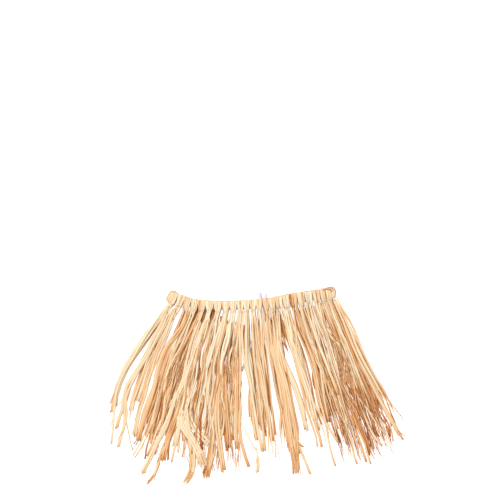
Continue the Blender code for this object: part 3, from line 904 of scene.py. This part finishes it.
# strips that wandered across the others on top of the pile
looseHanks = [hank for hank in hanks if hank["spread"] > 0.7]
strayLook = {"count": 70, "width": (2.0, 4.6), "tone": (0.05, 0.75), "length": (0.25, 0.6), "drift": 2.2}
for _ in range(strayLook["count"]):
    hank = looseHanks[int(rng.integers(0, len(looseHanks)))]
    first = rng.uniform(0.03, 0.5)
    last = min(first + rng.uniform(*strayLook["length"]), 0.97 * hank["reach"])
    spot, drift = rng.uniform(-1.0, 1.0), rng.normal(0, strayLook["drift"])
    points = []
    for level in np.linspace(first, last, 6):
        aside = spot + drift * (level - 0.5 * (first + last))
        x = hankX(hank, level) + aside * hankWidth(hank, level) / 2
        points.append((x + rng.normal(0, 0.8), levelY(x, level), topHeight(level, rng.uniform(-0.8, 0.6))))
    points[0] = (*points[0][:2], points[0][2] - 3.0)
    points[-1] = (*points[-1][:2], points[-1][2] - 1.5)
    width, tone = rng.uniform(*strayLook["width"]), rng.uniform(*strayLook["tone"])
    addStrip(
        outerGrass, points, width, tone, "point", curl=rng.uniform(0.6, 1.2), twist=0.5, columns=3, neck=0.3,
        neckLength=40.0,
    )

# loose threads: how thick each is, and the places it passes
strayFibres = (
    (0.9, [(-259, -188), (-268, -199), (-280, -208), (-292, -219), (-302, -226), (-309, -231)]),
    (1, [(-190, -311), (-196, -327), (-204, -338), (-216, -342), (-229, -344), (-235, -352), (-240, -360)]),
    (1, [(-231, -345), (-227, -354), (-218, -359), (-210, -358), (-202, -348), (-192, -334)]),
    (1, [(-188, -323), (-196, -346), (-199, -358), (-199, -372)]),
    (1.1, [(-134, -307), (-128, -323), (-129, -338), (-134, -350)]),
)
threadLook = {
    "count": 150,
    "tips": 90,
    "width": (0.5, 1.1),
    "tone": (0.35, 0.85),
    "tipShade": 0.4,
    "strayTone": 0.95,
}
looseThreads = newBundle()
for width, places in strayFibres:
    places = np.array(places, float)
    heights = np.linspace(4.5, 1.0, len(places)) + 0.4
    addFibre(looseThreads, np.column_stack([places, heights]), width, threadLook["strayTone"])
for k in range(threadLook["count"] + threadLook["tips"]):
    # the last ones stick out at the hem, most of them on the right
    atTip = k >= threadLook["count"]
    number = rng.random() ** (0.5 if atTip else 1.0) * len(looseHanks)
    hank = looseHanks[int(number)]
    first = rng.uniform(0.74, 0.88) if atTip else rng.uniform(0.05, 0.75)
    spot = rng.uniform(-1.1, 1.1)
    drift = rng.normal(0, 0.5)
    length = rng.uniform(0.12, 0.4)
    end = min(first + length, (1.07 if atTip else 1.04) * hank["reach"])
    points = []
    for level in np.linspace(first, end, 7):
        aside = (spot + drift * (level - first)) * hankWidth(hank, level) / 2
        x = hankX(hank, level) + aside + rng.normal(0, 0.4)
        points.append((x, levelY(x, level), topHeight(level, rng.uniform(-1.0, 1.2))))
    tone = rng.uniform(*threadLook["tone"]) + threadLook["tipShade"] * atTip
    addFibre(looseThreads, points, rng.uniform(*threadLook["width"]) + 0.2 * atTip, tone)

# the inner strips seen through the gaps just under the waistband, painted dark as painted shade: width, tone,
# the places each passes
shadedInnerStrips = (
    (9, 0.72, [(-113, 2), (-113, -12), (-116, -30), (-121, -52), (-126, -80)]),
    (12, 0.66, [(-95, 2), (-96, -12), (-99, -32), (-104, -60), (-109, -95)]),
    (10, 0.76, [(-79, 0), (-79, -14), (-81, -32), (-85, -54), (-89, -90)]),
    (6, 0.76, [(-62, -22), (-62, -38), (-63, -60), (-66, -95)]),
    (6, 0.70, [(-14, -40), (-14, -60), (-15, -90)]),
    (5, 0.74, [(8, -26), (11, -45), (14, -66)]),
    (5, 0.74, [(32, -30), (36, -46), (41, -64)]),
    (11, 0.72, [(55, -18), (58, -36), (64, -60), (74, -92)]),
    (5, 0.66, [(62, -30), (68, -55), (78, -88)]),
    (7, 0.70, [(137, 10), (139, -2), (146, -20), (158, -50)]),
)
for width, tone, places in shadedInnerStrips:
    places = np.array(places, float)
    heights = 0.6 * betweenLayers(levelOf(places[:, 0], places[:, 1]))
    path = np.column_stack([places, heights])
    addStrip(backGrass, path, width, tone, "point", curl=0.5, twist=0.1, neck=0.8, neckLength=15.0)


def endBall(bundle, look):
    # strips laid side by side over a round knot, from its foot up over its head
    middle = np.array([look["x"], bandY(look["x"]) + look["lift"], skirtShape["middleZ"]])
    along = bandAlong(look["x"])
    across = np.array([-along[1], along[0], 0.0])
    for k in range(look["strips"]):
        angle = 2 * math.pi * (k + 0.5) / look["strips"]
        outward = math.cos(angle) * np.array([0, 0, 1.0]) * look["deep"]
        outward = outward - math.sin(angle) * along * look["wide"]
        lean = look["lean"] + rng.normal(0, 0.04)
        path = []
        for share in np.linspace(-look["closed"], look["closed"], 15):
            swell = (1 - abs(share) ** look["squareness"]) ** 0.5
            place = middle + across * share * look["tall"] + outward * swell
            path.append(place + along * lean * share * look["tall"])
        facing = unit(-math.sin(angle) * np.array([0, 0, 1.0]) - math.cos(angle) * along)
        width = look["width"] * rng.uniform(0.9, 1.15)
        tone = look["tone"] + rng.normal(0, look["toneSpread"])
        addStrip(
            bundle, path, width, tone, "cut", side=-facing, curl=0.5, twist=0.03, columns=5, step=3.0,
            neck=0.6, neckLength=9.0, toneEnds=0.0, thick=0.6,
        )
    # a thin dark strip along the crease between the knot and the band: a painted shadow
    crease, tone = look["crease"], look["creaseShadowTone"]
    addStrip(bundle, crease, 1.7, tone, "point", columns=3, step=3.0, neck=0.4, neckLength=8.0)


def turnWraps(bundle, look):
    # strips wound round and round where the elastic turns back
    turns = np.linspace(look["from"], look["to"], look["wraps"])
    for k, turn in enumerate(turns):
        centre, forward, across, outward = loopStation(turn)
        swell = math.sin(math.pi * (k + 0.5) / len(turns)) ** 0.5
        size = skirtShape["bandHalfWidth"] + look["taller"] * swell
        lean = rng.normal(0, look["lean"])
        path = []
        for step in range(17):
            angle = 2 * math.pi * step / 16 * 1.03 - 0.6 * math.pi
            up = size * math.cos(angle) + look["taller"]
            path.append(
                centre
                + across * up
                + outward * look["thick"] * math.sin(angle)
                + forward * (lean * math.sin(angle + 0.5) + 0.05 * step)
            )
        tone = look["tone"] + rng.normal(0, look["toneSpread"])
        addStrip(
            bundle, path, look["width"], tone, "cut", side=forward, curl=0.75, twist=0.08, step=5.0, neck=0.9,
            neckLength=5.0, toneEnds=0.0,
        )


def turnLoops(bundle, look):
    # loops of raffia seen edge on, one inside the other, with narrow dark strips between them as painted
    # shade of the seams
    for k, inset in enumerate(look["insets"]):
        rise = look["rise"] * smooth(inset / 8)
        path = [(x - inset, y - 0.6 * inset, z + rise) for x, y, z in look["outer"]]
        # the even loops are narrow dark strips: painted shade in the seams
        if k % 2 == 0:
            path = [(x, y, z + look["seamLift"]) for x, y, z in path]
        addStrip(
            bundle, path, look["loopWidths"][k % 2], look["loopAndSeamShadeTones"][k % 2], "point", curl=0.9, twist=0.1,
            columns=4, step=3.0, neck=0.5, neckLength=10.0, toneEnds=0.0, thick=0.5,
        )


leftLook = {
    "x": -162.0, "lift": 3.0, "wide": 9.4, "tall": 12.3, "deep": 7.8,
    "closed": 0.99,  # the strips close over its head and foot
    "squareness": 2.6,
    "strips": 14, "width": 6.0, "lean": 0.06, "tone": 0.26, "toneSpread": 0.07,
    # the crease strip is a painted shadow
    "creaseShadowTone": 1.05,
    "crease": [(-152, 27, 11.5), (-153.4, 21, 15), (-155.6, 15, 17), (-158.6, 8, 16.6), (-161, 3, 14.5)],
}
rightLook = {
    "from": 0.975, "to": 1.96,  # where on the loop of elastic the wraps start and end
    "wraps": 13, "taller": 3.0, "thick": 3.7, "width": 3.2, "lean": 0.5, "tone": 0.12, "toneSpread": 0.12,
    # the first loop tone is the dark painted shade of the seams, the second the pale loops
    "insets": (0.0, 1.7, 3.4, 5.1, 6.8), "loopWidths": (1.4, 1.9), "loopAndSeamShadeTones": (1.2, 0.05),
    "outer": [
        (151, 35.6, 15.2), (157, 37.6, 15.2), (163.5, 38.2, 15.2), (168.8, 35.6, 14.7), (171.6, 29.4, 13.7),
        (172.2, 22, 13.4), (170.8, 14, 13.7),
    ],
    "rise": 3.4,
    "seamLift": 0.4,
}
leftBundle, rightBundle = newBundle(), newBundle()
endBall(leftBundle, leftLook)
turnWraps(rightBundle, rightLook)
turnLoops(rightBundle, rightLook)
leftEnd = makePiece("leftEndKnot", leftBundle, strawFinish, "wound_raffia", "left_end_knot")
rightEnd = makePiece("rightEndKnot", rightBundle, strawFinish, "wound_raffia", "right_end_knot")


def hankNodes(side):
    return [f"{side}_knots", *(f"{side}_hank_{k + 1:02d}" for k in range(len(hanks)))]


frontRaffia = makePiece("frontRaffia", frontGrass, strawFinish, "raffia", *hankNodes("front"))
backRaffia = makePiece("backRaffia", backGrass, innerFinish, "inner_raffia", *hankNodes("back"))
topRaffia = makePiece("topRaffia", outerGrass, strawFinish, "raffia")
fibres = makePiece("looseFibres", looseThreads, strawFinish, "raffia")


def clothFinish(name, colour, look):
    # woven elastic, ribbed along its length
    inputs = {"Roughness": look["roughness"], "Base Color": (*colour, 1), "Sheen Weight": look["sheen"]}
    made, shader = newFinish(name, inputs)
    nodes, links = made.node_tree.nodes, made.node_tree.links
    along = nodes.new("ShaderNodeUVMap")
    along.uv_map = "alongFibres"
    wave = nodes.new("ShaderNodeTexWave")
    wave.bands_direction = "Y"
    wave.inputs["Scale"].default_value = look["ribs"]
    links.new(along.outputs["UV"], wave.inputs["Vector"])
    addBump(made, shader, wave.outputs["Fac"], look["bump"])
    return made


clothLook = {"roughness": 0.75, "sheen": 0.15, "ribs": 3.0, "bump": 0.6}
# the waist elastic is white like the tie; its browner colour is painted shade for where it shows in the dark
# slits between the strips
darkenedElasticFinish = clothFinish("paintedShadeElastic", (0.60, 0.46, 0.42), clothLook)
tieFinish = clothFinish("whiteElastic", (0.84, 0.79, 0.89), clothLook)
elasticLook = {"width": 10.0, "thick": 0.9, "stations": 160}


def makeElastic(look):
    bundle = newBundle()
    rings, uv = [], []
    corners = [(-1, 1), (0, 1), (1, 1), (1, -1), (0, -1), (-1, -1)]
    for step in range(look["stations"]):
        turn = 4 * step / look["stations"]
        centre, _, across, outward = loopStation(turn)
        half, deep = look["width"] / 2, look["thick"] / 2
        rings.append([centre + across * a * half + outward * b * deep for a, b in corners])
        uv.append([(a * 0.5, step * 0.42) for a, b in corners])
    rings = np.array(rings)
    count, around = rings.shape[:2]
    index = np.arange(count * around).reshape(count, around)
    following = np.roll(index, -1, 0)
    quads = np.stack([index, np.roll(index, -1, 1), np.roll(following, -1, 1), following], -1).reshape(-1, 4)
    bundle["verts"].append(rings.reshape(-1, 3))
    bundle["uv"].append(np.array(uv).reshape(-1, 2))
    bundle["tone"].append(np.zeros(count * around))
    bundle["faces"].append(quads)
    bundle["count"], bundle["strips"] = count * around, 1
    return makePiece("waistElastic", bundle, darkenedElasticFinish, "elastic", "waist_elastic")


elastic = makeElastic(elasticLook)

# the tie: two small loops above the band, the fold that joins them, and two free ends
tieLook = {"width": 5.6, "earWidth": 7.4, "thick": 0.7, "step": 3.0, "tailStep": 5.0}
earPaths = (
    [
        (21, 1, 10.4), (18.6, 12, 10.6), (17.2, 20, 10.2), (17, 24.2, 9.2), (18, 19, 8.2), (20, 12, 8),
        (21.6, 1, 8.2),
    ],
    [
        (23, 1, 9.8), (26.4, 11, 10.2), (28.6, 17, 10), (29.2, 21.4, 9), (28.2, 16, 8), (26, 10, 7.8),
        (22.6, 1, 7.6),
    ],
    [(23, 4, 9.2), (33, 5, 10.0), (47, 2, 10.4), (52.5, -9, 10.2), (53, -22, 9.6), (47, -32, 8.6)],
)
ears = newBundle()
for path in earPaths:
    addStrip(
        ears, path, tieLook["earWidth"], 0.0, "cut", curl=0.5, twist=0.05, thick=tieLook["thick"], columns=3,
        step=tieLook["step"], neck=0.8, neckLength=6.0,
    )
tieEars = makePiece("tieEars", ears, tieFinish, "elastic", "tie_ears")


def tieTail(name, node, startX, endX, endLevel):
    steps = np.linspace(0, 1, 14)
    level = endLevel * steps
    x = startX + (endX - startX) * steps**1.3
    path = np.column_stack([x, levelY(x, level), betweenLayers(level)])
    path = np.concatenate([[path[0] + [0, 9.0, 0.2]], path])
    bundle = newBundle()
    addStrip(
        bundle, path, tieLook["width"], 0.0, "cut", curl=0.3, twist=0.0, thick=tieLook["thick"], columns=3,
        step=tieLook["tailStep"], neck=0.95, neckLength=6.0,
    )
    tail = makePiece(name, bundle, tieFinish, "elastic", node)


tieTail("tieTailLong", "tie_tail_long", 18.6, -20.0, 0.37)
tieTail("tieTailShort", "tie_tail_short", 25.6, 33.0, 0.10)

# what the pieces are cut from
for piece, bundle, extras in ((frontRaffia, frontGrass, [topRaffia, fibres]), (backRaffia, backGrass, [])):
    length = bundle["length"] / bundle["strips"] * 0.001
    width = bundle["area"] * 1e-6 / length
    print(f"{piece.name}: {bundle['strips']} strips, side by side {width:.2f} m, {length:.3f} m long")

# table, light and camera
studio = {
    "floorSize": 8.0,  # metres
    "floor": (0.55, 0.55, 0.55),
    "floorGlow": 0.88,  # the table is a light table, so gaps stay pale
    "sky": 0.62,
    "skyColour": (1.0, 0.985, 0.965),
    "sun": 1.9,
    "sunColour": (1.0, 0.975, 0.94),
    "sunWidth": 35.0,
    "sunFrom": (-0.35, 0.45, 1.0),
}
view = {
    "lookAt": (-7.9, 277.5),
    "height": 3000.0,
    "width": 1025.0,
    "sensor": 36.0,
    "farthest": 50.0,
}

bpy.ops.mesh.primitive_plane_add(size=studio["floorSize"], location=(0, 0, 0))
floor = bpy.context.object
floor.name = "tableTop"
floorInputs = {
    "Base Color": (*studio["floor"], 1),
    "Roughness": 0.9,
    "Specular IOR Level": 0.1,
    "Emission Color": (1, 1, 1, 1),
    "Emission Strength": studio["floorGlow"],
}
floor.data.materials.append(newFinish("paleTable", floorInputs)[0])

world = bpy.data.worlds.new("paleRoom")
bpy.context.scene.world = world
world.use_nodes = True
sky = world.node_tree.nodes["Background"]
sky.inputs["Color"].default_value = (*studio["skyColour"], 1)
sky.inputs["Strength"].default_value = studio["sky"]

sun = bpy.data.objects.new("softSun", bpy.data.lights.new("softSun", "SUN"))
sun.data.energy = studio["sun"]
sun.data.angle = math.radians(studio["sunWidth"])
sun.data.color = studio["sunColour"]
sun.rotation_euler = Vector(studio["sunFrom"]).to_track_quat("Z", "Y").to_euler()
bpy.context.scene.collection.objects.link(sun)

camera = bpy.data.objects.new("camera", bpy.data.cameras.new("camera"))
camera.data.sensor_width = view["sensor"]
camera.data.lens = view["sensor"] * view["height"] / view["width"]
camera.data.clip_end = view["farthest"]
camera.location = [0.001 * v for v in (*view["lookAt"], view["height"])]
bpy.context.scene.collection.objects.link(camera)
bpy.context.scene.camera = camera
bpy.context.scene.view_settings.view_transform = "Standard"
print("table, light and camera are in place")
